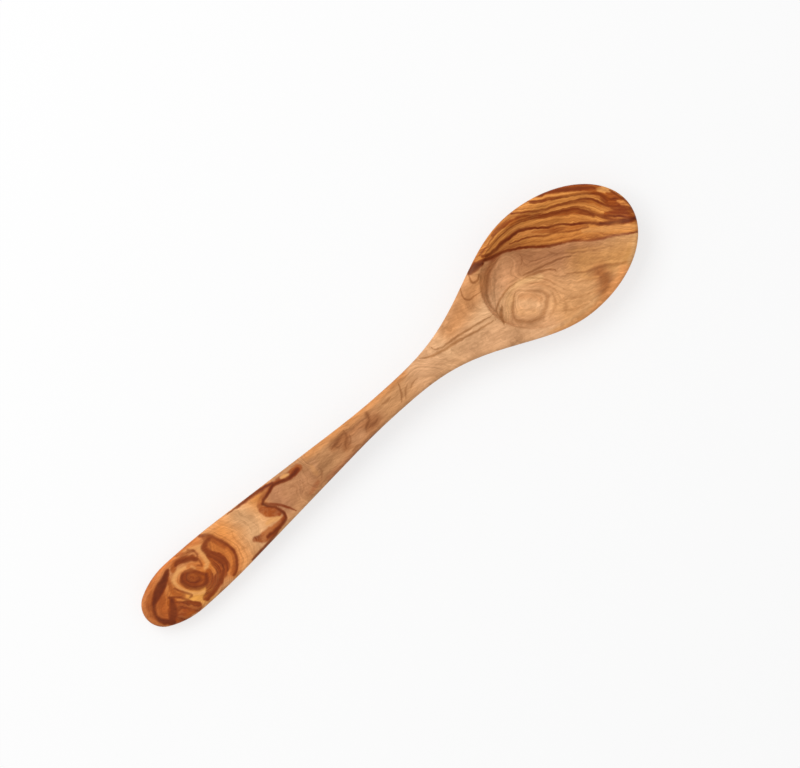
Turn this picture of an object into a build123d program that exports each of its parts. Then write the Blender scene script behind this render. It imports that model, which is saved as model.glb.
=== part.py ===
from build123d import *
import os
from math import atan, cos, radians, sin, sqrt, tan

# A cooking spoon carved from one piece of olive wood, in millimetres, lying on a table.
# X runs along the handle towards the tip of the bowl, Y to the left of the handle, and Z up.
# The origin is on the small flat under the belly, straight below the line of the handle.

# Sizes seen from above
overall_length = 299.4
handle_width = 27.7
neck_width = 12.5
bowl_width = 60.8

# Places along the handle, measured from its end
handle_widest_at = 24.0
taper_begins_at = 42.3

# Places in the neck and the bowl, measured back from the tip
neck_back = 144.4
bowl_turn_back = 94.4
lip_back = 82.4
hollow_deepest_back = 61.4
hollow_widest_back = 50.4
belly_back = 47.9
widest_back = 45.9

# The neck is straight for this length before the flare, and the handle's taper runs into it and
# out of the wide part of the handle in bends that reach so far from their corners
neck_run = 14.6
taper_easing = 13.5

# The bowl is carved a little askew: its own axis leans to the right of the handle's, in degrees
bowl_turn = 2.2

# The handle is a flat slab that rises by this angle from its end, which touches the table
handle_pitch = 3.1
handle_thickness = 8.6
nose_radius = 10.5
under_edge_radius = 3.4
top_edge_radius = 2.1

# Outside of the bowl, with a small sanded flat under the belly to rest on
rim_height = 16.0
rim_side_height = 3.0
keel_width = 8.0
keel_front_length = 4.0
rest_flat_depth = 0.2

# Hollow of the bowl, the eased edge of its rim, and how far its cut runs on above the rim
hollow_depth = 10.8
rim_width = 4.2
rim_width_at_tip = 3.3
rim_easing = 0.9
hollow_overrun = 3.0

# The flare of the neck is ruled by sections at even distances. From the neck to the bowl: shares
# of the change in width, of the top's way down to the rim, and of the underside's to the belly
flare_shares = [
    (0.0, 0.0, 0.0),
    (0.0, 0.0, 0.0),
    (0.018, 0.3, 0.0),
    (0.128, 1.0, 0.55),
    (0.759, 1.0, 1.0),
    (1.0, 1.0, 1.0),
    (1.0, 1.0, 1.0),
]

# How hard a rounded corner is pulled towards its square corner: a quarter ellipse, and the belly
ellipse_pull = sqrt(1 / 2)
belly_pull = 0.6

# Roundness of the hollow's steep wall at the neck, and the number of its level lines
lip_roundness = 2.6
hollow_steps = 6


# The same places measured from the end of the handle, which is how the spoon is drawn
neck_at = overall_length - neck_back
taper_ends_at = neck_at - neck_run
bowl_turn_at = overall_length - bowl_turn_back
lip_at = overall_length - lip_back
hollow_deepest_at = overall_length - hollow_deepest_back
hollow_widest_at = overall_length - hollow_widest_back
belly_at = overall_length - belly_back
widest_at = overall_length - widest_back


def between(start, end, share):
    return start + (end - start) * share


def corner(start, square, end, pull=ellipse_pull):
    """A rounded corner from start to end inside the square corner."""
    return Bezier(start, square, end, weights=[1, pull, 1])


def lean(x):
    """Y of the middle of the wood, which leaves the handle's axis where the bowl is turned."""
    return -max(x - bowl_turn_at, 0) * tan(radians(bowl_turn))


def spot(x, y, z=0):
    """A point given by its distance from the handle's end and from the middle of the wood."""
    return Vector(x - belly_at, lean(x) + y, z)


def skin(rows, pulls):
    """A face ruled by rows of points, each row pulled towards its middle point if it has one."""
    weights = [[1, pull, 1] if len(row) > 2 else [1, 1] for row, pull in zip(rows, pulls)]
    return Face.make_bezier_surface(rows, weights)


# The middle plane of the slab of the handle, with its origin in the neck. It is tilted, and at
# such a height that the rounded lower edge at the handle's end just touches the table
pitch = radians(handle_pitch)
half_height = handle_thickness / 2
handle_run = neck_at / cos(pitch)
end_height = under_edge_radius + (half_height - under_edge_radius) * cos(pitch)
neck_height = end_height + (handle_run - under_edge_radius) * sin(pitch)
slab_plane = Plane(spot(neck_at, 0, neck_height)).rotated((0, -handle_pitch, 0))

# The rounded end of the handle is a nose between two cheeks, all of them arcs. Here are the
# cheek's radius and the point where the nose runs into it, measured from the end
handle_half = handle_width / 2
cheek_run = handle_widest_at - nose_radius
cheek_drop = handle_half - nose_radius
cheek_radius = (cheek_run**2 + handle_half**2 - nose_radius**2) / (2 * cheek_drop)
nose_share = nose_radius / (cheek_radius - nose_radius)
nose_end = (nose_radius - cheek_run * nose_share, (cheek_radius - handle_half) * nose_share)

# The bends at the two ends of the taper
taper_angle = atan((handle_width - neck_width) / 2 / (taper_ends_at - taper_begins_at))
taper_radius = taper_easing / tan(taper_angle / 2)


def section(plane, width, top, bottom, change):
    """The points that rule the outline across the wood, and the pull of its lower corners.

    The change goes from 0, a neck with small round lower edges, to 1, a bowl."""
    half = width / 2
    side = between(bottom + under_edge_radius, top - rim_side_height, change)
    keel = between(half - under_edge_radius, keel_width / 2, change)
    left = [(half, top), (half, side), (half, bottom), (keel, bottom)]
    points = left + [(-y, z) for y, z in reversed(left)]
    pull = between(ellipse_pull, belly_pull, change)
    return [plane.from_local_coords(point) for point in points], pull


# The sections that rule the flare. The first is the end of the slab, and the second carries
# straight on from it, as the last does from the one before, so the flare has no crease
slab_end = Plane(slab_plane.origin, x_dir=(0, 1, 0), z_dir=slab_plane.x_dir)
sections = []
for step, (change, top_share, bottom_share) in enumerate(flare_shares):
    x = between(neck_at, widest_at, step / (len(flare_shares) - 1))
    if change == top_share == bottom_share == 0:
        plane, top, bottom = slab_end.offset(x - neck_at), half_height, -half_height
    else:
        plane = Plane(spot(x, 0), x_dir=(0, 1, 0), z_dir=(1, 0, 0))
        middle = neck_height + (x - neck_at) * tan(pitch)
        top = between(middle + half_height, rim_height, top_share)
        bottom = between(middle - half_height, -rest_flat_depth, bottom_share)
    sections.append(section(plane, between(neck_width, bowl_width, change), top, bottom, change))

# The skin of the flare: side, belly, keel, belly, side and top
bowl_skin = []
pulls = [pull for points, pull in sections]
for places in ((0, 1), (1, 2, 3), (3, 4), (4, 5, 6), (6, 7), (7, 0)):
    rows = [[points[place] for place in places] for points, pull in sections]
    bowl_skin.append(skin(rows, pulls))

# The end of the neck, where it meets the slab
neck = sections[0][0]
neck_edges = [Line(neck[0], neck[1]), corner(*neck[1:4]), Line(neck[3], neck[4])]
neck_edges += [corner(*neck[4:7]), Line(neck[6], neck[7]), Line(neck[7], neck[0])]
bowl_skin.append(Face(Wire(neck_edges)))


def front_quarter(length, half_width, z):
    """The points that rule a quarter of an ellipse, from the widest place to the tip."""
    corners = ((0, half_width), (length, half_width), (length, 0))
    return [spot(widest_at + along, y, z) for along, y in corners]


# The front of the bowl, of which every level line is half an ellipse
for side in (1, -1):
    half_bowl, half_keel = side * bowl_width / 2, side * keel_width / 2
    rim = front_quarter(widest_back, half_bowl, rim_height)
    side_foot = front_quarter(widest_back, half_bowl, rim_height - rim_side_height)
    square = front_quarter(widest_back, half_bowl, -rest_flat_depth)
    keel = front_quarter(keel_front_length, half_keel, -rest_flat_depth)
    bowl_skin.append(skin([rim, side_foot], [ellipse_pull, ellipse_pull]))
    levels = [list(level) for level in zip(side_foot, square, keel)]
    weights = [[pull, pull * belly_pull, pull] for pull in (1, ellipse_pull, 1)]
    bowl_skin.append(Face.make_bezier_surface(levels, weights))
for length, half, z in (
    (widest_back, bowl_width / 2, rim_height),
    (keel_front_length, keel_width / 2, -rest_flat_depth),
):
    left, right = front_quarter(length, half, z), front_quarter(length, -half, z)
    bowl_skin.append(Face(Wire([corner(*left), corner(*reversed(right)), Line(right[0], left[0])])))
bowl = Solid(Shell(bowl_skin))


def hollow_level(out):
    """A level line of the hollow, where out is 0 at its deepest point and 1 at the rim."""
    depth_share = 1 - out**2
    steep = (1 - max(depth_share, 0) ** lip_roundness) ** (1 / lip_roundness)
    neck_end = between(hollow_deepest_at, lip_at, max(steep, out))
    widest = between(hollow_deepest_at, hollow_widest_at, out)
    tip_end = between(hollow_deepest_at, overall_length - rim_width_at_tip, out)
    z = rim_height - hollow_depth * depth_share
    sides = []
    for half in ((bowl_width / 2 - rim_width) * out, (rim_width - bowl_width / 2) * out):
        sides.append(corner(spot(neck_end, 0, z), spot(neck_end, half, z), spot(widest, half, z)))
        sides.append(corner(spot(widest, half, z), spot(tip_end, half, z), spot(tip_end, 0, z)))
    return Face(Wire(sides))


hollow_levels = [hollow_level(sqrt(1 + hollow_overrun / hollow_depth))]
hollow_levels += [hollow_level(1 - step / hollow_steps) for step in range(hollow_steps)]
hollow_levels.append(Vertex(*spot(hollow_deepest_at, 0, rim_height - hollow_depth)))


def is_outline(edge):
    """Whether an edge of the top runs along the wood, not across it."""
    middle = edge @ 0.5
    return abs(middle.Y - lean(middle.X + belly_at)) > neck_width / 4


def is_rim(edge):
    """Whether a new edge runs round the hollow at the rim, not down its wall."""
    return (edge @ 0.5).Z > rim_height - rim_easing and edge.length > rim_width + rim_easing


with BuildPart() as spoon:
    # Handle
    with BuildSketch(slab_plane):
        with BuildLine():
            nose = TangentArc(
                (-handle_run, 0), (nose_end[0] - handle_run, nose_end[1]), tangent=(0, 1)
            )
            TangentArc(nose @ 1, (handle_widest_at - handle_run, handle_half), tangent=nose % 1)
            FilletPolyline(
                (handle_widest_at - handle_run, handle_half),
                (taper_begins_at - handle_run, handle_half),
                (taper_ends_at - handle_run, neck_width / 2),
                (0, neck_width / 2),
                radius=taper_radius,
            )
            Line((0, neck_width / 2), (0, 0))
            mirror(about=Plane.XZ)
        make_face()
    extrude(amount=half_height, both=True)
    underside = spoon.faces().sort_by(Axis((0, 0, 0), slab_plane.z_dir))[0]
    fillet(underside.edges().sort_by(Axis.X)[:-1], under_edge_radius)
    # Neck and bowl, with one rounded edge along the whole top of the spoon
    add(bowl)
    tops = spoon.faces().filter_by(lambda face: face.normal_at().Z > cos(2 * pitch))
    fillet(tops.edges().filter_by(is_outline), top_edge_radius)
    # Hollow and its rim
    loft(hollow_levels, mode=Mode.SUBTRACT)
    fillet(spoon.edges(Select.LAST).filter_by(is_rim), rim_easing)
    # Flat to rest on
    split(bisect_by=Plane.XY, keep=Keep.TOP)

spoon.part.label = "spoon"
os.makedirs("parts", exist_ok=True)
export_step(spoon.part, "parts/spoon.step")
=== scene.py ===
from math import cos, radians, sin

import bpy
import numpy as np
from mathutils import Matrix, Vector
from mathutils.bvhtree import BVHTree


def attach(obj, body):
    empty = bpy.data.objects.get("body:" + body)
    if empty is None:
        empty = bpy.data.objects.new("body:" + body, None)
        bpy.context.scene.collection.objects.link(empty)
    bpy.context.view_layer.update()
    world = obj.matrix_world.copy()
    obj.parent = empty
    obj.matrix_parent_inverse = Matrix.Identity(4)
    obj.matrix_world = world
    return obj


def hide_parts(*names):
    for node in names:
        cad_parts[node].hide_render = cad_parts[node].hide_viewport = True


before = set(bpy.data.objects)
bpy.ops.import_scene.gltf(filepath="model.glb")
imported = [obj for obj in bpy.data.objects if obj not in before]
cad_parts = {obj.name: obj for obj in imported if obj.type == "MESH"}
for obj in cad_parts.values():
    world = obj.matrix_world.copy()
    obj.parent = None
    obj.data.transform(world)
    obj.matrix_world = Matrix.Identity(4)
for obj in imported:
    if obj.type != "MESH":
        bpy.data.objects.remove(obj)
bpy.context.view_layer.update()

# The photograph's frame: where the end of the handle is, in pixels and along X of the row frame,
# how the handle lies in the photograph, and the size of a pixel in metres
HANDLE_END = (145.0, 621.3)
END_X = -0.252
HANDLE_TURN = radians(41.84)
PIXEL = 0.46875e-3
FRAME_WIDTH, FRAME_HEIGHT = 800, 768


def row_point(px, py):
    """X and Y in the row frame of a pixel of the photograph."""
    dx, dy = px - HANDLE_END[0], HANDLE_END[1] - py
    along = dx * cos(HANDLE_TURN) + dy * sin(HANDLE_TURN)
    across = dy * cos(HANDLE_TURN) - dx * sin(HANDLE_TURN)
    return END_X + along * PIXEL, across * PIXEL


def photo_points(x, y):
    """The pixels of the photograph of points in the row frame, as an array of pairs."""
    along, across = (x - END_X) / PIXEL, y / PIXEL
    px = HANDLE_END[0] + along * cos(HANDLE_TURN) - across * sin(HANDLE_TURN)
    py = HANDLE_END[1] - along * sin(HANDLE_TURN) - across * cos(HANDLE_TURN)
    return np.stack([px, py], axis=-1)


# ---------------------------------------------------------------- Shape
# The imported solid's surface as small, even quads, smoothed so little that no edge moves

WELD_DISTANCE = 0.01e-3
VOXEL, QUICK_VOXEL = 0.45e-3, 1.2e-3
SMOOTHING = 0.5


def add_smoothing(name, rounds):
    modifier = spoon.modifiers.new(name, "SMOOTH")
    modifier.factor, modifier.iterations = SMOOTHING, rounds


cad_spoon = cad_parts["spoon"]
mesh = cad_spoon.data.copy()
mesh.materials.clear()
spoon = bpy.data.objects.new("carved_spoon", mesh)
bpy.context.scene.collection.objects.link(spoon)
spoon.modifiers.new("weld", "WELD").merge_threshold = WELD_DISTANCE
remesh = spoon.modifiers.new("remesh", "REMESH")
remesh.mode, remesh.voxel_size = "VOXEL", VOXEL
add_smoothing("smooth", rounds=4)
spoon.modifiers.new("wrap", "SHRINKWRAP").target = cad_spoon
add_smoothing("smooth_again", rounds=3)
skin = bpy.data.meshes.new_from_object(spoon.evaluated_get(bpy.context.evaluated_depsgraph_get()))
skin.name = "carved_spoon"
spoon.modifiers.clear()
spoon.data = skin
skin.polygons.foreach_set("use_smooth", np.ones(len(skin.polygons), bool))

# ---------------------------------------------------------------- Figure of the wood
# The figure is a solid one. It is drawn on the top as the photograph shows it, in pixels of the
# photograph, and runs down into the wood at a slant, so the sides and the back show it further on

# Some of the strokes and washes below are painted light and shade, not the wood's own colour: on
# the bowl's edges, the handle's edges and the hollow's steep wall
count = len(skin.vertices)


def vertex_vectors(values, name):
    """A vector of each vertex, such as its place, as an array of three columns."""
    flat = np.empty(count * 3, np.float32)
    values.foreach_get(name, flat)
    return flat.reshape(-1, 3).astype(float)


# A ray starts so far under the surface, in metres, that it doesn't meet its own face
RAY_INSET = 0.05e-3

places = vertex_vectors(skin.vertices, "co")
normals = vertex_vectors(skin.vertex_normals, "vector")


def depths():
    """How far below the wood's top each vertex lies, straight up through the wood, in metres."""
    solid = BVHTree.FromObject(cad_spoon, bpy.context.evaluated_depsgraph_get())
    found = np.zeros(count)
    for i, start in enumerate(places - normals * RAY_INSET):
        distance = solid.ray_cast(Vector(start), Vector((0, 0, 1)))[3]
        if distance is not None:
            found[i] = distance
    return found


# The slant, in pixels of the photograph for each metre down
SLANT = (-900.0, 1500.0)

depth = depths()
on_photo = photo_points(places[:, 0], places[:, 1]) + depth[:, None] * np.array(SLANT)

# The number of waves in a field, and the shortest and longest as shares of the length asked for
WAVE_COUNT = 14
SHORTEST, LONGEST = 0.6, 1.6


def waves(length, seed):
    """A smooth, even field of values of about -1 to 1, made of waves of about this length."""
    rng = np.random.default_rng(seed)
    angles = rng.uniform(0, 2 * np.pi, WAVE_COUNT)
    lengths = length * rng.uniform(SHORTEST, LONGEST, WAVE_COUNT)
    phases = rng.uniform(0, 2 * np.pi, WAVE_COUNT)
    total = np.zeros(count)
    for angle, wave_length, phase in zip(angles, lengths, phases):
        run = on_photo[:, 0] * np.cos(angle) + on_photo[:, 1] * np.sin(angle)
        total += np.sin(run * 2 * np.pi / wave_length + phase)
    return total / np.sqrt(WAVE_COUNT)


def stray(far, length, seeds):
    """How far the figure strays from its drawn lines at each vertex, in waves of this length."""
    return far * np.stack([waves(length, seed) for seed in seeds], axis=-1)


# How far the figure strays and the length of its waves, in pixels: broad, small and tiny ones.
# The broad ones have this share of their size on top, and that much more for each metre down
BROAD, BROAD_LENGTH = 0.45, 26
SMALL, SMALL_LENGTH = 0.2, 7
TINY, TINY_LENGTH = 0.08, 3.4
SHARE_ON_TOP, MORE_PER_METRE = 0.5, 900

wander = SHARE_ON_TOP + depth * MORE_PER_METRE
on_photo += stray(BROAD * wander[:, None], BROAD_LENGTH, seeds=(1, 2))
on_photo += stray(SMALL, SMALL_LENGTH, seeds=(3, 4))
on_photo += stray(TINY, TINY_LENGTH, seeds=(5, 6))


def smooth_line(points, step=2.5):
    """Points at even steps along a smooth curve through the given ones, a Catmull-Rom spline."""
    p = np.array(points, float)
    p = np.vstack([2 * p[0] - p[1], p, 2 * p[-1] - p[-2]])
    out = []
    for before, start, end, after in zip(p, p[1:], p[2:], p[3:]):
        pieces = max(1, int(np.ceil(np.hypot(*(end - start)) / step)))
        t = (np.arange(pieces) / pieces)[:, None]
        straight = 2 * start + (end - before) * t
        square = (2 * before - 5 * start + 4 * end - after) * t**2
        cube = (3 * start - before - 3 * end + after) * t**3
        out.append(0.5 * (straight + square + cube))
    out.append(p[-2][None])
    return np.vstack(out)


# Where the edge of an even line is half faded, as a share of its width away from its middle
EDGE_AT = 0.54


def nearness(line, widths, edge=None):
    """How much a line covers each vertex: 1 on its middle, and 0 at its width on either side.

    With an edge, the line is about as broad as its width, even inside, and fades over the edge."""
    widths = np.interp(np.linspace(0, 1, len(line)), np.linspace(0, 1, len(widths)), widths)
    low, high = line.min(axis=0) - max(widths), line.max(axis=0) + max(widths)
    near = np.flatnonzero(((on_photo > low) & (on_photo < high)).all(axis=1))
    p, best = on_photo[near], np.zeros(len(near))
    for i, run in enumerate(np.diff(line, axis=0)):
        share = np.clip(((p - line[i]) @ run) / (run @ run), 0, 1)
        gap = np.hypot(*(p - line[i] - share[:, None] * run).T)
        width = widths[i] + (widths[i + 1] - widths[i]) * share
        if edge:
            covers = (EDGE_AT * width - gap) / np.minimum(width, edge) + 0.5
        else:
            covers = 1 - (gap / width) ** 2
        best = np.maximum(best, covers)
    best = np.minimum(best, 1)
    found = np.zeros(count)
    found[near] = best**2 * (3 - 2 * best) if edge else best**2
    return found


# Strokes: lines and patches, each with its strength, its widths from start to end, and its
# points, in pixels of the photograph. Those with a name also guide the growth layers, further on
BOUNDARY = (0.88, (3, 3.8, 2.8, 2.2, 2.2, 2.4, 2.4), [
    (473, 266), (477, 264), (483, 261), (495, 256), (505, 251), (513, 249), (523, 247), (542, 246),
    (553, 244.8), (562, 242.6),
])
STRONG = (0.85, (2.4, 3.4, 2.8, 2.2, 2.2, 2.2, 2.6, 3), [
    (482, 257), (489, 255), (496.5, 249), (503, 242), (510.5, 237), (518, 231.8), (529, 228.6),
    (541, 227.6), (548, 227), (554, 225.2), (561, 223.6), (572, 224), (585, 222.8), (593, 223.2),
    (600, 224),
])
HUMP = (0.5, (1.2, 1.6, 2, 2.4, 2.6, 2.6, 3), [
    (503, 233.5), (508, 229.4), (514, 225.6), (522, 221.6), (532, 218), (541, 215.6), (549, 213.8),
    (558, 211.2), (567, 209.4), (574, 207.7), (581, 208.3), (588, 211), (594, 214.2), (600, 216),
    (607, 218), (616, 218.8),
])
UPPER = (0.7, (1.6, 2, 2.2, 2.4, 2.6, 2.6, 3), [
    (511, 213.9), (519, 213.2), (528, 211.8), (538, 211), (547, 209), (555, 206), (563, 204.1),
    (572, 201.8), (581, 199.4), (588, 198.9), (595, 201), (600, 203.3), (606, 205.7), (614, 206.4),
    (623, 207), (631, 209),
])
HIGHEST = (0.65, (3, 2.4, 2, 2, 2.2, 2.8), [
    (530, 202.6), (538, 202.4), (547, 200), (554, 199), (563, 197.8), (570, 196.8), (577, 195.2),
    (585, 194.1), (593, 193.9), (598.5, 195), (603, 198), (606, 201.2),
])
TOP_EDGE = (0.7, (2, 3.4, 2.4), [(538, 196.5), (549, 192), (562, 190), (575, 188.4), (594, 188)])
UNDER_STRONG = (0.58, (1.2, 1.8, 2, 2, 2.2), [
    (509, 243.5), (520, 239.5), (533, 236), (547, 235.3), (554, 232.7), (563, 231.5), (574, 230.5),
    (581, 228.8), (588, 226.8),
])
HOOK_TOP = (0.9, (5, 3.4, 3, 3, 2.6), [
    (297, 470), (293, 475), (287, 479.4), (280, 482), (274, 484.5), (270.5, 489), (267, 494.5),
    (263.5, 500), (262.6, 503.5),
])
HOOK_LOW = (0.9, (3, 2.6, 3, 3.6, 3), [
    (262.6, 503.5), (268, 506), (276, 508), (282, 512), (286, 518), (281, 525), (274, 532),
    (268, 537),
])
KNOT_OUTER = (0.7, (3, 3.4, 2.8, 2.4, 2.4), [
    (199, 537), (205, 535.5), (212, 537), (221, 541.5), (229, 547), (234.5, 553.5), (236.5, 562),
    (236, 570), (233.5, 575),
])
KNOT_INNER = (0.62, (3.5, 5, 6.5, 7, 6), [
    (209, 538.5), (205, 544), (203, 549), (208, 553.5), (216, 557), (224, 562),
])
KNOT_LEFT = (0.9, (3, 7, 10, 7, 3.6, 3.6, 6, 6), [
    (167, 571), (164.5, 579), (160.5, 587), (157.5, 593), (155, 599), (153, 605.5), (154, 613),
    (157, 618.5), (164, 622.5), (173, 623),
])
EYE_LOW = (0.75, (4, 6, 5, 4), [
    (182, 575), (181.5, 581), (186, 586), (193, 588), (201, 587), (206, 582), (205.5, 575),
])
EYE_TOP = (0.6, (3, 4, 3), [(184, 573), (190, 571.5), (197, 573), (203, 575)])
EYE_RING = (0.75, (3.4, 4, 3.6, 3.6, 3.6), [
    (184, 568.5), (178, 571), (174, 577), (173.5, 582), (178, 587.5), (184, 591.5), (194, 594),
    (204, 592),
])
WEDGE_TOP = (0.7, (2.5, 3, 3), [(168, 598.5), (180, 598.5), (189, 602), (199, 604.5)])
DRIFT = (0.8, (2, 2.4, 2), [
    (522.5, 275.3), (533, 270.6), (542.6, 265.8), (553, 261), (561.5, 257.6), (573, 255),
])
DRIFT_LOW = (0.8, (2, 2.4, 2), [
    (524, 277.5), (535.5, 272.9), (545, 270), (554.4, 268.8), (558, 270.6),
])
DRIFT_RIGHT = (0.7, (2.4, 3, 2.4), [
    (566, 273), (582.7, 271.7), (595.7, 268.2), (605, 265.3), (619, 263.5), (632, 261),
])
# Painted shade: a dark arc where the hollow's steep wall by the neck falls into shade
WALL_SHADE_ARC = (0.5, (2, 3.4, 3.4, 2), [
    (501, 256.4), (495, 263.5), (489, 273), (486.5, 287), (488.3, 300), (493, 308.3), (499, 315.4),
])
INNER_ARC = (0.8, (1.8, 2.4, 2), [
    (518, 281), (509.6, 287), (503.7, 294), (499, 302.4), (496.6, 310.7), (498, 315.4),
])
RING = (0.6, (3.4, 4, 5, 6, 5, 4), [
    (515.5, 293), (519, 289.6), (531, 290), (542.6, 291.2), (548, 295.3), (547.3, 302.4),
    (545, 310.7), (540, 317.8), (531, 320.7), (521.3, 321), (515.5, 318.5), (513.4, 310.7),
    (514, 301), (515.5, 293),
])
NECK_LOW = (0.9, (2.4, 3, 2.4, 2), [
    (419, 358.6), (428, 357.5), (436, 354), (446, 348.7), (457, 341.7), (472, 334), (486, 325.5),
    (495, 320),
])
NECK_HIGH = (0.85, (2, 2.4, 2), [
    (429.5, 347), (436.6, 349.6), (445.5, 345), (458, 336), (472, 327.6), (486, 319), (494, 314.5),
])
LEFT_EDGE = (0.9, (2, 2.4, 2), [(468.3, 273), (470, 280), (473, 283.5), (477.7, 280), (479, 274)])


def guide(*points):
    """A line that isn't drawn and only guides the layers."""
    return 0, (1, 1), list(points)


# Along the slim part of the handle, in the knot's front, and at the foot of the hollow's wall
GRIP_LEFT = guide((306, 460), (330, 438), (358, 418), (388, 389), (408, 368))
GRIP_MIDDLE = guide((312, 474), (338, 449), (364, 428), (394, 397), (418, 372))
GRIP_RIGHT = guide((320, 486), (348, 462), (376, 436), (404, 408), (432, 380))
KNOT_FRONT = guide((164, 597), (163, 611))
WALL_FOOT = guide((508, 256), (503, 263), (499, 272), (496, 284), (495.5, 296), (497, 306))

# The dark veins
VEINS = [
    BOUNDARY, STRONG, HUMP, UPPER, HIGHEST, TOP_EDGE, UNDER_STRONG, HOOK_TOP, HOOK_LOW, KNOT_OUTER,
    KNOT_INNER, KNOT_LEFT, EYE_LOW, EYE_TOP, WEDGE_TOP,
    (0.62, (2, 2.8, 2.8, 2.2), [
        (560, 243), (574, 240.2), (585, 240), (594, 239.2), (606, 237.4), (622, 234.6),
        (637, 232.4),
    ]),
    (0.72, (1.6, 2.2, 2.4, 2.6, 3.2, 4), [
        (540, 215.6), (549, 213.8), (558, 212), (567, 210.2), (574, 208.6), (581, 209),
        (588, 211.8), (594, 214.8),
    ]),
    (0.95, (3, 4.4, 5, 5, 4), [(600, 223.6), (609, 222.9), (617, 222), (626, 220.7), (636, 218)]),
    (0.7, (2, 3, 3.4, 3), [(592, 213), (600, 215.6), (610, 218.5), (620, 220.5)]),
    (0.5, (1.2, 1.5, 1.2), [
        (479, 256.5), (487, 246), (494, 236.6), (503, 227.5), (512, 220.5), (521, 216.5),
        (531, 215.5), (543, 213),
    ]),
    (0.5, (1.2, 1.4, 1.0), [(484, 255.2), (491, 246), (499, 237.5), (507, 230.4), (513, 225.7)]),
    (0.45, (1.2, 1.4, 1.2), [(488, 244), (497, 232), (508, 222), (520, 217.5)]),
    (0.6, (1.6, 2.4, 1.8), [(609, 190), (617, 195), (624, 200), (630, 206)]),
    (0.55, (1.6, 3, 2), [(600, 198), (607, 205), (615, 209), (624, 211)]),
    (0.6, (2, 3.4, 2.4), [(618, 205), (625, 209), (632, 210.5)]),
    (0.5, (1.6, 2.4, 1.8), [(607, 212), (618, 214), (630, 213), (635, 211)]),
    (1.0, (6, 8, 3), [(470, 272), (475.5, 267), (482, 263.5)]),
    (0.7, (3, 3, 2.6, 1.2), [(263, 503.6), (271, 504.2), (280, 505.4), (289, 508), (296, 511)]),
    (0.75, (2, 3, 2.4), [(284, 519), (276, 533), (267, 545), (258, 554), (252, 560)]),
    (0.85, (2.4, 2.6, 3, 2.4, 1.8, 0.6), [
        (273, 483), (265, 487), (258, 491), (247, 500), (238, 506), (227, 514.5),
    ]),
    (0.75, (3, 5.5, 4), [(174.5, 566), (177, 562.5), (184, 561), (191, 559), (196, 560)]),
    (0.5, (2, 2.6, 2), [(196, 559), (200, 562.6), (201, 566.5), (197, 566)]),
    (0.45, (2, 2.6, 2.4), [(196.5, 560), (196.5, 555), (193, 551), (187, 550)]),
    (0.85, (4, 7, 8, 6), [(171, 600), (172, 607), (173, 615), (171, 622)]),
    (0.6, (2, 2.6, 2), [(174, 589), (180, 592), (187, 594), (191.5, 595.5), (189, 598.5)]),
    (0.7, (3, 4, 4), [(223, 571), (221.5, 578), (217, 587), (212, 593.5), (207, 600)]),
    (0.7, (3, 4), [(222, 576), (221, 583)]),
]
# Broad red-brown patches and bands beside them
BROWN = [
    (0.85, (5, 8, 9, 8), [(594, 193), (601, 196.5), (608, 201), (613, 206)]),
    (0.9, (6, 10, 9), [(607, 194.5), (615, 199), (621, 206)]),
    (0.95, (6, 9, 9), [(607, 214), (615, 213), (624, 213.5)]),
    (0.8, (5, 8, 7), [(614, 209), (623, 211), (631, 215)]),
    (0.9, (4, 9, 9), [(540, 194), (553, 189.8), (566, 187.8), (582, 187), (597, 187.4)]),
    (0.75, (1.2, 5, 6, 6, 1), [
        (530, 219.5), (546, 215.6), (560, 213), (573, 211), (584, 213), (593, 217),
    ]),
    (0.6, (1.2, 5, 6, 5, 1), [(532, 232), (546, 231), (558, 228.6), (572, 227.4), (588, 225)]),
    (0.4, (3, 4, 3), [(490, 252), (500, 243), (512, 235), (526, 229)]),
    (0.6, (3, 7, 7, 3), [(492, 236), (500, 227), (512, 222), (524, 218), (540, 214.5)]),
    (0.4, (3, 5, 3), [(474, 262), (480, 255), (488, 245)]),
    (0.55, (3, 4, 3, 1), [(531, 202.4), (545, 200.8), (558, 198), (568, 196.4)]),
    (0.5, (1, 3, 4, 4), [(556, 206.5), (575, 203), (588, 201.5), (600, 206)]),
    (0.5, (4, 6, 6), [(270.5, 487), (266, 493), (261, 500), (259.5, 506)]),
    (0.9, (7, 11, 8), [(262, 510), (268, 512), (277, 512.5)]),
    (0.85, (6, 10, 9, 6, 4), [(255, 539.5), (264, 538), (273.5, 529.5), (281, 522), (285, 517)]),
    (0.75, (4, 6, 6, 8), [(271, 486), (280, 480), (289, 475), (298, 468)]),
    (0.7, (3, 4, 3, 1), [(270, 484), (256, 494), (246, 502), (236, 509)]),
    (0.6, (5, 6, 5, 6, 6), [
        (203, 538.5), (212, 540), (220.5, 544.5), (230, 550), (234.5, 558), (235, 566), (233, 574),
    ]),
    (0.6, (5, 7, 5), [(205, 543), (205, 549), (212, 555)]),
    (1.0, (9, 15, 14), [(211, 556), (217, 560), (222, 566)]),
    (1.0, (7, 9, 9), [(219, 570), (222, 574), (218, 580)]),
    (0.9, (8, 10, 8, 7), [(222, 574), (217, 583), (211, 591), (206, 598)]),
    (0.8, (6, 8, 6), [(208, 572), (210, 579), (208, 587)]),
    (1.0, (11, 15, 13), [(186, 579), (193, 580), (201, 579.5)]),
    (0.8, (5, 7, 5), [(172, 571), (174, 565), (182, 560), (192, 557)]),
    (0.6, (3, 4, 3), [(176, 557), (186, 553), (193, 551)]),
    (0.75, (4, 7, 7), [(167, 573), (163, 584), (160, 592)]),
    (1.0, (9, 14, 14, 10), [(171, 604), (177, 610), (187, 609), (196, 607)]),
    (0.95, (8, 12, 10), [(171, 612), (175, 618), (186, 614)]),
    (0.6, (4, 6, 5), [(168, 579), (170, 588), (174, 594), (183, 597)]),
    (0.45, (5, 7, 6), [(150, 594), (148, 606), (153, 618)]),
    (0.75, (5, 7, 5), [(206, 583), (209, 590), (206, 597)]),
    (0.45, (4, 6, 4), [(311, 493), (315, 487), (318, 482)]),
]
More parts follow.
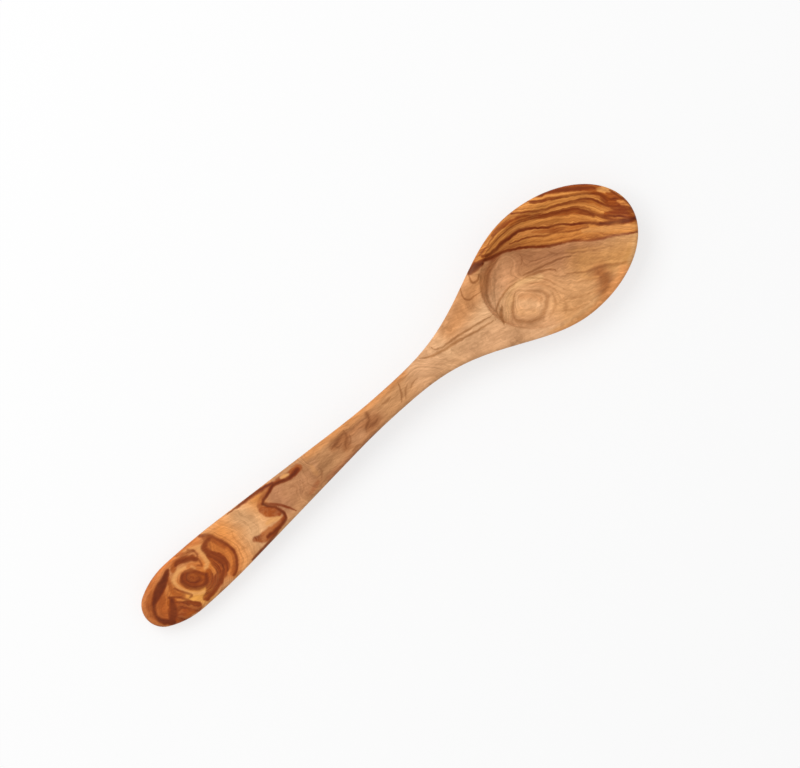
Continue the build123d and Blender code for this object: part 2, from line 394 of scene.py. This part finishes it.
# Narrow gaps in the patches, where lighter wood shows
GAPS = [
    (0.8, (1.6, 4, 2), [(617, 201.5), (622, 202.2), (628, 201.4)]),
    (0.7, (1.6, 4, 2), [(621, 205.8), (626, 206.4), (631, 206.6)]),
    (0.45, (1.6, 3, 1.6), [(588, 196), (597, 197.5), (604, 201.5)]),
    (0.5, (1.6, 3, 1.6), [(588, 216), (599, 218), (608, 220.4)]),
    (0.35, (2, 5, 3), [(602, 208), (609, 209), (618, 208)]),
    (0.4, (1.6, 3, 3), [(627, 211), (630, 212.5), (633, 215)]),
    (0.6, (4, 6, 4), [(598, 189.5), (602, 189.8), (608, 190.5)]),
    (0.9, (2.4, 3.6, 2.4), [(281, 478), (288, 475)]),
]
# Pale bands, and painted highlights along the bowl's right and lower edges
PALE = [
    (0.5, (5, 7, 6), [(584, 230.5), (600, 228.8), (618, 227.2), (637, 226.5)]),
    (0.55, (3, 6, 6), [(597, 189.5), (602, 189.8), (608, 190.5)]),
    (0.7, (4, 6, 5), [(267, 524), (272, 520), (279, 518)]),
    (0.9, (3, 4, 3), [(282, 477.5), (287, 475.6)]),
    (0.7, (5, 6, 5.5, 4), [(198, 549), (203.5, 556), (206.5, 563), (205, 569)]),
    (0.6, (4, 5, 4), [(184, 552.5), (193, 548.5), (200, 546.5)]),
    EYE_RING,
    (0.6, (3, 3), [(191, 567), (194, 569)]),
    (0.35, (4, 6), [(311, 466), (316, 473)]),
    # The next two: painted highlights along the bowl's right edge and its lower edge
    (0.5, (2, 3, 2.4), [(635, 238), (636, 250), (633, 264)]),
    (0.35, (4, 5, 4), [(548, 333), (580, 321), (606, 302)]),
    (0.4, (3, 4.4, 3), [(583, 276), (590, 277.5), (598, 277)]),
    (0.35, (2.4, 3, 2.4), [(566, 250.5), (584, 249), (604, 246)]),
]
# Faint lines of the growth layers in the plain wood, and an arc of painted shade on the hollow's
# steep wall
FAINT = [
    DRIFT, DRIFT_LOW, DRIFT_RIGHT, WALL_SHADE_ARC, INNER_ARC, RING, NECK_LOW, NECK_HIGH, LEFT_EDGE,
    (0.4, (2, 2.4, 2), [(497, 258), (491, 263.5), (485.5, 274), (483.4, 285)]),
    (0.9, (3, 4, 2), [(502.5, 305), (501, 312), (501.3, 318), (504, 325)]),
    (0.6, (1.6, 2, 1.6), [(518, 281), (526, 277.6), (537, 277.6), (548.5, 280), (558, 284.7)]),
    (0.45, (1.6, 2, 1.6), [(521, 285), (512, 290), (507, 298), (505, 306)]),
    (0.6, (1.4, 2, 2, 1.6), [
        (514, 301), (512.6, 309), (515.5, 317.5), (523, 320.6), (533, 320.8), (541, 317.5),
    ]),
    (0.4, (2, 3, 2), [(524, 283.5), (536, 282.5), (548, 285.5), (557, 291), (562, 298)]),
    (0.4, (2, 4, 3), [(553, 292), (556, 301), (554, 311), (549, 319)]),
    (0.35, (2, 4, 2), [(563, 296), (567, 306), (565, 316)]),
    (0.6, (1.6, 2.4, 1.6), [(549, 250), (555, 253.5), (561, 252)]),
    (0.5, (1.6, 2.4, 1.6), [(520, 254), (523, 259), (521, 265)]),
    (0.5, (1.4, 2, 1.4), [(529, 262), (538, 259), (547, 256)]),
    (0.4, (1.4, 2, 1.4), [(576, 249), (588, 247), (597, 246)]),
    (0.25, (2, 3.4, 2), [(597, 268), (600, 278), (601, 289)]),
    (0.8, (1.6, 2, 1.6), [(460, 288.3), (462.4, 297), (467, 300.6), (473, 297.5), (481, 291.8)]),
    (0.7, (1.6, 2, 2), [(397.8, 382), (400.8, 391), (401.5, 402.7)]),
    (0.6, (1.6, 2, 2), [(407.4, 383.6), (405.2, 391), (406, 399.7)]),
    (0.6, (1.6, 2, 2), [(417.6, 377.7), (413.2, 382), (410.3, 389.5)]),
    (0.55, (2, 3.4, 2.4, 1.6), [(331, 450), (336, 443), (342, 435), (345, 431)]),
    (0.5, (2, 3, 2.4, 1.8), [(343, 430), (347, 436), (345, 443), (347, 449)]),
    (0.6, (1.4, 2.4, 1.4), [(333, 446), (338, 447), (342, 443)]),
    (0.5, (1.4, 2, 1.4), [(349, 434), (351, 440), (348, 446)]),
    (0.45, (1.4, 2.6, 1.6), [(367, 413), (369, 420), (366, 428), (367, 433)]),
    (0.6, (2, 3.4, 2), [(369, 428), (374, 424), (378, 418)]),
    (0.6, (1.6, 3, 1.6), [(381, 405), (387, 401), (391, 396)]),
    (0.4, (1.4, 2, 1.4), [(373, 410), (379, 407), (383, 402)]),
    (0.5, (1.6, 3, 1.6), [(352, 452), (356, 447), (361, 444)]),
    (0.45, (1.6, 3, 1.6), [(318, 467), (322, 471), (321, 478)]),
    (0.4, (1.4, 2, 1.4), [(312, 462), (317, 456), (321, 452)]),
    (0.4, (1.6, 2, 1.6), [(231, 531), (234, 539), (243, 547), (249, 550)]),
    (0.4, (1.6, 2.4, 1.6), [(288, 490), (292, 486), (297, 488), (296, 494)]),
    (0.35, (1.6, 2.4, 1.6), [(300, 480), (304, 486), (302, 493)]),
    (0.35, (1.6, 2.4, 1.6), [(279, 489), (277, 495), (281, 500)]),
    (0.4, (2, 3, 2), [(560, 300), (580, 296), (600, 290)]),
    (0.4, (2, 3, 2), [(556, 312), (574, 309), (590, 303)]),
    (0.4, (2, 3, 2), [(575, 283), (590, 279), (603, 277)]),
    (0.45, (2, 3, 2), [(546, 254), (566, 252), (590, 250), (612, 246)]),
]

# How far the edges of veins and patches are spread, in pixels
EDGE = 3.6
# The width that a tapered stroke has at its ends, as a share of its full one, and the number of
# places along a stroke where its width is worked out
TAPER_END = 0.3
WIDTH_PLACES = 17


def drawn(strokes, edge=None, tapered=False):
    """The strongest of some strokes at each vertex. Tapered ones get thin towards both ends."""
    field = np.zeros(count)
    share = np.linspace(0, 1, WIDTH_PLACES)
    taper = TAPER_END + (1 - TAPER_END) * np.sin(np.pi * share) ** 0.5 if tapered else 1
    for strength, widths, points in strokes:
        widths = np.interp(share, np.linspace(0, 1, len(widths)), widths) * taper
        field = np.maximum(field, strength * nearness(smooth_line(points), widths, edge))
    return field


# Washes of colour, soft and broad: the colour as it looks (sRGB), its strength, its reach, points.
# Those of the plain wood lie under the heartwood of the bowl, and the last ones over it
PLAIN = (208, 157, 114)
WASHES = [
    ((214, 166, 118), 0.9, 60, [(560, 320), (600, 290), (625, 260)]),
    ((178, 126, 90), 0.9, 26, [(520, 258), (540, 256), (565, 252), (590, 248)]),
    ((202, 148, 86), 0.8, 26, [(585, 262), (605, 260), (625, 254)]),
    ((160, 98, 48), 0.9, 15, [(600, 272), (606, 281), (605, 290)]),
    ((230, 186, 144), 0.95, 22, [(524, 298), (536, 304), (528, 314)]),
    ((222, 170, 130), 0.9, 24, [(502, 268), (498, 282), (496, 296)]),
    # Painted shade: a darker band down the hollow's steep wall by the neck
    ((176, 114, 70), 0.8, 7, [(497, 257), (493, 262), (488, 272), (486.5, 284), (487, 296)]),
    ((234, 192, 144), 0.9, 5, [
        (500, 310), (504, 299), (511, 290), (519, 283), (528, 279), (541, 277),
    ]),
    # Painted light: lightens the foot of the steep wall against the shade the wall gets there
    ((228, 184, 132), 0.9, 8, [(506, 318), (508, 308), (511, 298)]),
    ((206, 150, 102), 0.7, 7, [(522, 296), (532, 295), (541, 298)]),
    ((236, 186, 136), 0.9, 7, [(519, 312), (527, 315), (536, 313)]),
    ((226, 184, 146), 0.9, 36, [(440, 355), (470, 325), (490, 305)]),
    ((208, 148, 98), 0.8, 20, [(478, 285), (468, 300), (452, 330)]),
    ((218, 174, 138), 0.8, 30, [(475, 345), (510, 335), (545, 330)]),
    # Painted highlights: lighter bands along the bowl's lower right edge and its right edge
    ((232, 162, 104), 0.9, 10, [(556, 338), (588, 320), (610, 296), (625, 270)]),
    ((224, 176, 126), 0.8, 5, [(630, 262), (635, 248), (636, 236)]),
    ((218, 173, 136), 0.9, 26, [(412, 380), (430, 362)]),
    ((211, 161, 117), 0.9, 24, [(404, 392), (388, 404)]),
    ((172, 116, 76), 0.95, 20, [(372, 422), (360, 432), (342, 444)]),
    ((176, 130, 92), 0.9, 26, [(335, 462), (322, 474)]),
    # Painted light and shade: the slim handle's upper left edge lighter and its lower right edge
    # darker, as the light from the upper left falls
    ((214, 150, 94), 0.9, 8, [(306, 455), (330, 436), (358, 413), (384, 391), (402, 374)]),
    ((166, 108, 74), 0.8, 7, [(330, 478), (350, 460), (376, 436)]),
    ((160, 104, 64), 0.8, 6, [(333, 448), (339, 441), (345, 435), (348, 441), (346, 448)]),
    ((156, 102, 64), 0.7, 7, [(364, 432), (370, 425), (377, 419)]),
    ((150, 96, 58), 0.8, 4, [(367, 414), (369, 421), (366, 430)]),
    ((196, 146, 108), 0.8, 9, [(355, 440), (362, 434)]),
    ((200, 150, 112), 0.8, 7, [(313, 463), (315, 470), (312, 478)]),
    ((164, 108, 68), 0.7, 14, [(316, 482), (308, 490)]),
    ((228, 154, 84), 1.0, 34, [(252, 498), (243, 520), (228, 535)]),
    ((182, 132, 96), 1.0, 26, [(302, 480), (292, 492), (284, 500)]),
    ((184, 132, 98), 1.0, 13, [(276, 490), (273, 498), (284, 506)]),
    ((234, 166, 104), 0.8, 24, [(240, 540), (228, 548), (240, 560)]),
    ((204, 124, 56), 1.0, 38, [(215, 560), (195, 580), (165, 605)]),
    ((180, 100, 44), 0.8, 16, [(149, 594), (147, 608), (155, 624)]),
    ((222, 160, 80), 1.0, 14, [(193, 598), (200, 598), (206, 593)]),
    ((198, 118, 54), 1.0, 14, [(212, 545), (222, 551), (230, 560), (231, 570)]),
    ((206, 124, 60), 0.9, 13, [(168, 560), (180, 551), (194, 541)]),
    ((196, 114, 54), 0.9, 10, [(148, 588), (158, 573), (168, 562)]),
    ((222, 178, 136), 0.95, 25, [(241, 516), (251, 523), (255, 532)]),
    ((176, 92, 34), 0.95, 12, [(160, 600), (162, 610), (165, 617)]),
    ((190, 112, 54), 0.8, 6, [(190, 567), (198, 567)]),
]
OVER_WASHES = [
    ((226, 156, 80), 0.7, 8, [(556, 201), (570, 197), (584, 194.5)]),
    ((226, 156, 80), 0.6, 8, [(536, 206), (548, 205)]),
    ((228, 158, 84), 0.8, 8, [(488, 250), (494, 240), (505, 228), (518, 221)]),
    ((230, 160, 88), 0.6, 7, [(512, 240), (530, 238), (552, 236)]),
    ((156, 80, 26), 1.0, 10, [(545, 192), (568, 187.5), (594, 187.5)]),
    ((212, 140, 88), 0.7, 8, [(516, 232), (530, 231), (545, 230)]),
    ((156, 88, 54), 0.85, 7, [(492, 257.5), (500, 250.5), (508, 246), (518, 246)]),
    ((178, 96, 40), 0.8, 16, [(612, 198), (624, 206), (630, 214)]),
    ((178, 100, 44), 0.8, 8, [(596, 194), (604, 200), (612, 208)]),
    ((228, 150, 88), 0.9, 5, [(618, 201.5), (627, 202)]),
    ((220, 142, 80), 0.9, 5, [(623, 206), (630, 207)]),
    ((214, 148, 72), 0.8, 6, [(597, 189.5), (608, 190.5)]),
]

# The heartwood: its colour, the line in the bowl down to which it reaches, how far the colour is
# spread there, and where along the photograph it begins and is full, all in pixels
GOLD = (207, 137, 69)
HEARTWOOD_EDGE = [
    (440, 305), (473, 266), (483, 261), (495, 256), (505, 251), (513, 249), (542, 246),
    (562, 242.5), (578, 240), (590, 240), (614, 235), (637, 231.5), (680, 224),
]
HEARTWOOD_SPREAD = 2
HEARTWOOD_BEGINS, HEARTWOOD_FULL = 440, 460


def linear(colour):
    """The linear values of a colour as it looks (sRGB)."""
    c = np.array(colour, float) / 255
    return np.where(c <= 0.04045, c / 12.92, ((c + 0.055) / 1.055) ** 2.4)


def heartwood():
    """How much of each vertex is heartwood of the bowl, from 0 to 1."""
    line = smooth_line(HEARTWOOD_EDGE, step=6)
    above = np.interp(on_photo[:, 0], line[:, 0], line[:, 1]) - on_photo[:, 1]
    begun = (on_photo[:, 0] - HEARTWOOD_BEGINS) / (HEARTWOOD_FULL - HEARTWOOD_BEGINS)
    return np.clip(above / HEARTWOOD_SPREAD + 0.5, 0, 1) * np.clip(begun, 0, 1)


def washed(colours, washes):
    """The colours of the vertices with the washes laid over them, one after the other."""
    for colour, strength, reach, points in washes:
        share = strength * nearness(smooth_line(points, step=8), (reach, reach))[:, None]
        colours = colours * (1 - share) + linear(colour) * share
    return colours


gold = heartwood()
wash = washed(np.tile(linear(PLAIN), (count, 1)), WASHES)
wash = wash * (1 - gold[:, None]) + linear(GOLD) * gold[:, None]
wash = washed(wash, OVER_WASHES)

# Growth layers: lines of equal age, between which the age runs as on a smooth sheet laid over them
AGES = [
    (0.0, BOUNDARY), (1.0, UNDER_STRONG), (1.6, STRONG), (3.0, HUMP), (4.6, UPPER), (5.7, HIGHEST),
    (7.0, TOP_EDGE), (-1.6, DRIFT), (-2.0, DRIFT_LOW), (-2.2, DRIFT_RIGHT), (-2.0, WALL_SHADE_ARC),
    (-2.4, WALL_FOOT), (-2.8, INNER_ARC), (-3.8, RING), (-3.2, NECK_LOW), (-3.0, NECK_HIGH),
    (-2.4, LEFT_EDGE), (-2.6, GRIP_LEFT), (-1.9, GRIP_MIDDLE), (-1.2, GRIP_RIGHT),
    (-0.6, HOOK_TOP), (-0.4, HOOK_LOW), (2.0, KNOT_OUTER), (3.0, KNOT_INNER), (6.0, EYE_LOW),
    (6.5, EYE_TOP), (4.5, EYE_RING), (3.0, KNOT_LEFT), (3.5, KNOT_FRONT), (4.0, WEDGE_TOP),
]
# The sheet's unit of length in pixels, how far it may miss the lines to stay smooth, the least
# square of a distance in it, and how many vertices are worked out at a time
SHEET_UNIT = 100
SHEET_EASE = 0.002
LEAST_SQUARE = 1e-9
CHUNK = 4000


def bend(a, b):
    """How a thin plate bends at points a, for each of the points b where it is held."""
    square = ((a[:, None, :] - b[None, :, :]) ** 2).sum(-1)
    return 0.5 * square * np.log(square + LEAST_SQUARE)


def layer_ages():
    """The age of the growth layer at each vertex."""
    lines = [smooth_line(points, step=9) for age, (strength, widths, points) in AGES]
    ages = [np.full(len(line), age) for line, (age, stroke) in zip(lines, AGES)]
    held = np.vstack(lines) / SHEET_UNIT
    flat = np.hstack([np.ones((len(held), 1)), held])
    bent = bend(held, held) + SHEET_EASE * np.eye(len(held))
    system = np.block([[bent, flat], [flat.T, np.zeros((3, 3))]])
    solved = np.linalg.solve(system, np.concatenate([*ages, np.zeros(3)]))
    bends, level, tilt = np.split(solved, [len(held), len(held) + 1])
    found = []
    for start in range(0, count, CHUNK):
        p = on_photo[start : start + CHUNK] / SHEET_UNIT
        found.append(bend(p, held) @ bends + level + p @ tilt)
    return np.concatenate(found)


def keep(name, values):
    """Keeps a number or a colour of each vertex under this name, for the material."""
    if values.ndim == 1:
        attribute = skin.attributes.new(name, "FLOAT", "POINT")
        attribute.data.foreach_set("value", values.astype(np.float32))
    else:
        attribute = skin.attributes.new(name, "FLOAT_COLOR", "POINT")
        rgba = np.hstack([values, np.ones((count, 1))])
        attribute.data.foreach_set("color", rgba.astype(np.float32).ravel())


keep("vein", drawn(VEINS, EDGE))
keep("brown", np.clip(drawn(BROWN, EDGE) - drawn(GAPS, EDGE), 0, 1))
keep("pale", drawn(PALE, EDGE))
keep("faint", drawn(FAINT, tapered=True))
keep("gold", gold)
keep("age", layer_ages())
keep("wash", wash)

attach(spoon, "root")
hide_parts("spoon")

# ---------------------------------------------------------------- Wood


class Nodes:
    """A new material, with short ways to add the nodes that are used here."""

    def __init__(self, name):
        self.material = bpy.data.materials.new(name)
        self.material.use_nodes = True
        self.tree = self.material.node_tree
        self.shader = self.tree.nodes["Principled BSDF"]

    def add(self, kind, **settings):
        added = self.tree.nodes.new(kind)
        for name, setting in settings.items():
            setattr(added, name, setting)
        return added

    def put(self, socket, value):
        """Gives a socket a value, or the output of another node."""
        if hasattr(value, "links"):
            self.tree.links.new(value, socket)
        else:
            socket.default_value = value

    def maths(self, operation, a, b, c=0.5, clamp=False):
        added = self.add("ShaderNodeMath", operation=operation, use_clamp=clamp)
        for socket, value in zip(added.inputs, (a, b, c)):
            self.put(socket, value)
        return added.outputs[0]

    def step_between(self, value, low, high):
        """0 below low and 1 above high, with a smooth rise between them."""
        added = self.add("ShaderNodeMapRange", interpolation_type="SMOOTHSTEP")
        self.put(added.inputs["Value"], value)
        self.put(added.inputs["From Min"], low)
        self.put(added.inputs["From Max"], high)
        return added.outputs["Result"]

    def mix(self, share, a, b, blend="MIX"):
        added = self.add("ShaderNodeMix", data_type="RGBA", blend_type=blend)
        for i, value in ((0, share), (6, a), (7, b)):
            self.put(added.inputs[i], value)
        return added.outputs[2]

    def noise(self, where, scale=1, detail=2, roughness=0.5):
        """Noise in space, or along a line where the place is a single number."""
        line = where.type == "VALUE"
        added = self.add("ShaderNodeTexNoise", noise_dimensions="1D" if line else "3D")
        self.put(added.inputs["W" if line else "Vector"], where)
        self.put(added.inputs["Scale"], scale)
        self.put(added.inputs["Detail"], detail)
        self.put(added.inputs["Roughness"], roughness)
        return added.outputs[0]


wood = Nodes("olive_wood")
where = wood.add("ShaderNodeTexCoord").outputs["Object"]

# Where the fibres run, turned from the handle's axis towards the right of the photograph
GRAIN_TURN = radians(16)


def wood_noise(scales, detail, roughness=0.5, turn=0.0):
    """Noise with its own scale along X, Y and Z, in waves a metre, after a turn about Z."""
    turned = wood.add("ShaderNodeMapping")
    wood.put(turned.inputs["Vector"], where)
    turned.inputs["Rotation"].default_value = (0, 0, turn)
    stretched = wood.add("ShaderNodeMapping")
    wood.put(stretched.inputs["Vector"], turned.outputs["Vector"])
    stretched.inputs["Scale"].default_value = scales
    return wood.noise(stretched.outputs["Vector"], detail=detail, roughness=roughness)


def kept(name, output="Fac"):
    """What keep() has kept under this name."""
    attribute = wood.add("ShaderNodeAttribute", attribute_name=name, attribute_type="GEOMETRY")
    return attribute.outputs[output]


soft_noise = wood_noise((260, 260, 260), detail=3)
slow_noise = wood_noise((95, 95, 95), detail=2)
mottle = wood_noise((60, 110, 110), detail=4, roughness=0.6)
fibre = wood_noise((170, 1150, 1150), detail=3, roughness=0.6, turn=GRAIN_TURN)
pores = wood_noise((380, 3400, 3400), detail=1, turn=GRAIN_TURN)

# Growth layers: broad bands of an even age, and fine streaks along them that fade in and out.
# How far noise moves the age, and the scale of the streaks across the layers and along a metre
AGE_NOISE = 0.4
STREAKS_ACROSS, STREAKS_ALONG = 9.0, 110.0

age = wood.maths("MULTIPLY_ADD", soft_noise, AGE_NOISE, kept("age"))
bands = wood.noise(age, scale=2.2, detail=4, roughness=0.7)
apart = wood.add("ShaderNodeSeparateXYZ")
wood.put(apart.inputs[0], where)
in_layers = wood.add("ShaderNodeCombineXYZ")
wood.put(in_layers.inputs[0], wood.maths("MULTIPLY", age, STREAKS_ACROSS))
wood.put(in_layers.inputs[1], wood.maths("MULTIPLY", apart.outputs[0], STREAKS_ALONG))
wood.put(in_layers.inputs[2], wood.maths("MULTIPLY", apart.outputs[1], STREAKS_ALONG))
streaks = wood.noise(in_layers.outputs[0], detail=3, roughness=0.6)
dark_bands = wood.step_between(bands, low=0.3, high=0.7)

# Colours of the wood, as they look (sRGB)
WARM_LIGHT, WARM_DARK = (235, 168, 92), (162, 86, 28)
# The pale colour also paints the highlights along the bowl's edges
PALE_AND_HIGHLIGHT = (228, 163, 96)
BROWN_LIGHT, BROWN_DARK, BROWN_WARM = (152, 64, 8), (104, 32, 0), (172, 84, 14)
VEIN, VEIN_CORE = (130, 54, 8), (74, 18, 0)
PORE = (96, 46, 18)

# Shades, which multiply the linear colour under them
BRIGHT, NO_SHADE = (1.12, 1.10, 1.06), (1, 1, 1)
BAND_SHADE = (0.84, 0.79, 0.72)
STREAK_SHADE = (0.84, 0.78, 0.70)
FAINT_SHADE = (0.56, 0.44, 0.31)
FIBRE_SHADE = (0.86, 0.80, 0.72)

# How strongly the heartwood's bands, the pale bands and painted highlights, and the pores cover
# what is under them
WARM_COVER, PALE_COVER, PORE_COVER = 0.6, 0.9, 0.22
# The same for the brown patches, and how that changes in open streaks
BROWN_COVER, STREAK_OPENS = 0.95, -0.22
# The same for the veins where the slow noise is 0, and how much more it adds where it is 1
VEIN_COVER, VEIN_VARIES = 0.42, 0.9


def seen(colour):
    """A colour as it looks (sRGB), for a socket."""
    return (*linear(colour), 1)


def shaded(colour, share, dark, bright=BRIGHT, amount=0.9):
    """A colour made brighter or darker by a share from 0 to 1, by about this amount."""
    factor = wood.mix(share, (*bright, 1), (*dark, 1))
    return wood.mix(amount, colour, wood.mix(1.0, colour, factor, "MULTIPLY"))


def covered(name, low, high, wobble):
    """How much of a drawn field covers the surface, its edges moved a little by noise."""
    moved = wood.maths("SUBTRACT", soft_noise, 0.5)
    return wood.step_between(wood.maths("MULTIPLY_ADD", moved, wobble, kept(name)), low, high)


# Plain wood and the bowl's heartwood, with their layers
warm = wood.mix(dark_bands, seen(WARM_LIGHT), seen(WARM_DARK))
colour = wood.mix(wood.maths("MULTIPLY", kept("gold"), WARM_COVER), kept("wash", "Color"), warm)
colour = shaded(colour, dark_bands, BAND_SHADE)
colour = shaded(colour, wood.step_between(mottle, low=0.3, high=0.7), BAND_SHADE)
colour = shaded(colour, wood.step_between(streaks, low=0.3, high=0.72), STREAK_SHADE)
# The faint lines darken the wood: growth layers, and painted shade on the hollow's steep wall
faint = covered("faint", low=0.0, high=0.9, wobble=0.3)
colour = shaded(colour, faint, FAINT_SHADE, NO_SHADE)
# Pale bands, and painted highlights along the bowl's edges
pale = covered("pale", low=0.0, high=1.0, wobble=0.4)
colour = wood.mix(wood.maths("MULTIPLY", pale, PALE_COVER), colour, seen(PALE_AND_HIGHLIGHT))

# Brown patches, which let the wood show through in streaks
brown = wood.mix(dark_bands, seen(BROWN_LIGHT), seen(BROWN_DARK))
brown = wood.mix(wood.step_between(slow_noise, low=0.4, high=0.75), brown, seen(BROWN_WARM))
open_streaks = wood.step_between(streaks, low=0.42, high=0.62)
grained = wood.maths("MULTIPLY_ADD", open_streaks, STREAK_OPENS, BROWN_COVER)
patches = covered("brown", low=0.05, high=0.85, wobble=0.5)
colour = wood.mix(wood.maths("MULTIPLY", patches, grained), colour, brown)

# Veins with a darker core, which fade here and there
faded = wood.maths("MULTIPLY_ADD", slow_noise, VEIN_VARIES, VEIN_COVER, clamp=True)
veins = covered("vein", low=0.0, high=0.7, wobble=0.3)
colour = wood.mix(wood.maths("MULTIPLY", veins, faded), colour, seen(VEIN))
cores = wood.maths("MULTIPLY", covered("vein", low=0.55, high=1.15, wobble=0.3), faded)
colour = wood.mix(wood.maths("MULTIPLY", cores, grained), colour, seen(VEIN_CORE))

# Fibres and pores along the wood, which show in its colour, its gloss and its relief
FIBRE_ROUGHNESS, LEAST_ROUGHNESS = 0.16, 0.42
FIBRE_RELIEF, STREAK_RELIEF = 0.5, 0.4
RELIEF_HEIGHT, RELIEF_STRENGTH = 0.06e-3, 0.35
SHEEN = 0.15

dark_fibres = wood.step_between(fibre, low=0.3, high=0.75)
colour = shaded(colour, dark_fibres, FIBRE_SHADE, amount=0.7)
pore = wood.step_between(pores, low=0.66, high=0.76)
colour = wood.mix(wood.maths("MULTIPLY", pore, PORE_COVER), colour, seen(PORE))
roughness = wood.maths("MULTIPLY_ADD", fibre, FIBRE_ROUGHNESS, LEAST_ROUGHNESS)
relief = wood.maths("MULTIPLY", streaks, STREAK_RELIEF)
relief = wood.maths("MULTIPLY_ADD", fibre, FIBRE_RELIEF, relief)
bump = wood.add("ShaderNodeBump")
wood.put(bump.inputs["Height"], wood.maths("SUBTRACT", relief, pore))
bump.inputs["Strength"].default_value = RELIEF_STRENGTH
bump.inputs["Distance"].default_value = RELIEF_HEIGHT

wood.put(wood.shader.inputs["Base Color"], colour)
wood.put(wood.shader.inputs["Roughness"], roughness)
wood.put(wood.shader.inputs["Normal"], bump.outputs["Normal"])
wood.shader.inputs["Specular IOR Level"].default_value = SHEEN
skin.materials.append(wood.material)

# ---------------------------------------------------------------- Floor, camera, light
# White paper a hair below the spoon. The camera sees it glow in part, so that it looks white and
# still holds the spoon's shadow
WHITE = (1, 1, 1, 1)
FLOOR_SIZE, FLOOR_CELLS = 6, 4
FLOOR_GAP = 0.1e-3
PAPER_GREY = 0.9
PAPER_GLOW = 0.7

bpy.ops.mesh.primitive_grid_add(
    size=FLOOR_SIZE, x_subdivisions=FLOOR_CELLS, y_subdivisions=FLOOR_CELLS
)
floor = bpy.context.object
floor.name = "floor"
floor.location.z = -FLOOR_GAP
paper = Nodes("paper")
paper.shader.inputs["Base Color"].default_value = (PAPER_GREY, PAPER_GREY, PAPER_GREY, 1)
paper.shader.inputs["Roughness"].default_value = 1.0
paper.shader.inputs["Specular IOR Level"].default_value = 0.0
white = paper.add("ShaderNodeEmission")
white.inputs["Color"].default_value = WHITE
rays = paper.add("ShaderNodeLightPath").outputs
looked_at = paper.maths("MAXIMUM", rays["Is Camera Ray"], rays["Is Glossy Ray"])
looked_at = paper.maths("MAXIMUM", looked_at, rays["Is Transmission Ray"])
both = paper.add("ShaderNodeMixShader")
paper.put(both.inputs[0], paper.maths("MULTIPLY", looked_at, PAPER_GLOW))
paper.put(both.inputs[1], paper.shader.outputs[0])
paper.put(both.inputs[2], white.outputs[0])
paper.put(paper.tree.nodes["Material Output"].inputs["Surface"], both.outputs[0])
floor.data.materials.append(paper.material)

# The camera is straight above the middle of the photograph's frame. Its lens gives a pixel its
# size at the second height, a little under the rim
CAMERA_HEIGHT, PIXEL_HEIGHT = 1.5, 0.014
SENSOR_WIDTH = 36

middle = row_point(FRAME_WIDTH / 2, FRAME_HEIGHT / 2)
lens = bpy.data.cameras.new("camera")
lens.sensor_width = SENSOR_WIDTH
lens.lens = SENSOR_WIDTH * (CAMERA_HEIGHT - PIXEL_HEIGHT) / (FRAME_WIDTH * PIXEL)
camera = bpy.data.objects.new("camera", lens)
camera.location = (middle[0], middle[1], CAMERA_HEIGHT)
camera.rotation_euler = (0, 0, -HANDLE_TURN)
bpy.context.scene.collection.objects.link(camera)
bpy.context.scene.camera = camera

# Soft light from the photograph's upper left, and an even white surround. The lamp hangs so far
# from the middle of the frame, in metres
SURROUND_STRENGTH = 0.62
LAMP_POWER = 15
LAMP_SIZE = (1.4, 1.0)
LAMP_AWAY = (-0.35, 0.9, 1.3)

world = bpy.data.worlds.new("surround")
world.use_nodes = True
surround = world.node_tree.nodes["Background"]
surround.inputs["Color"].default_value = WHITE
surround.inputs["Strength"].default_value = SURROUND_STRENGTH
bpy.context.scene.world = world
soft = bpy.data.lights.new("soft_light", "AREA")
soft.shape, soft.energy = "RECTANGLE", LAMP_POWER
soft.size, soft.size_y = LAMP_SIZE
lamp = bpy.data.objects.new("soft_light", soft)
lamp.location = Vector((*middle, 0)) + Vector(LAMP_AWAY)
lamp.rotation_euler = (-Vector(LAMP_AWAY)).to_track_quat("-Z", "Y").to_euler()
bpy.context.scene.collection.objects.link(lamp)

bpy.context.scene.view_settings.view_transform = "Standard"
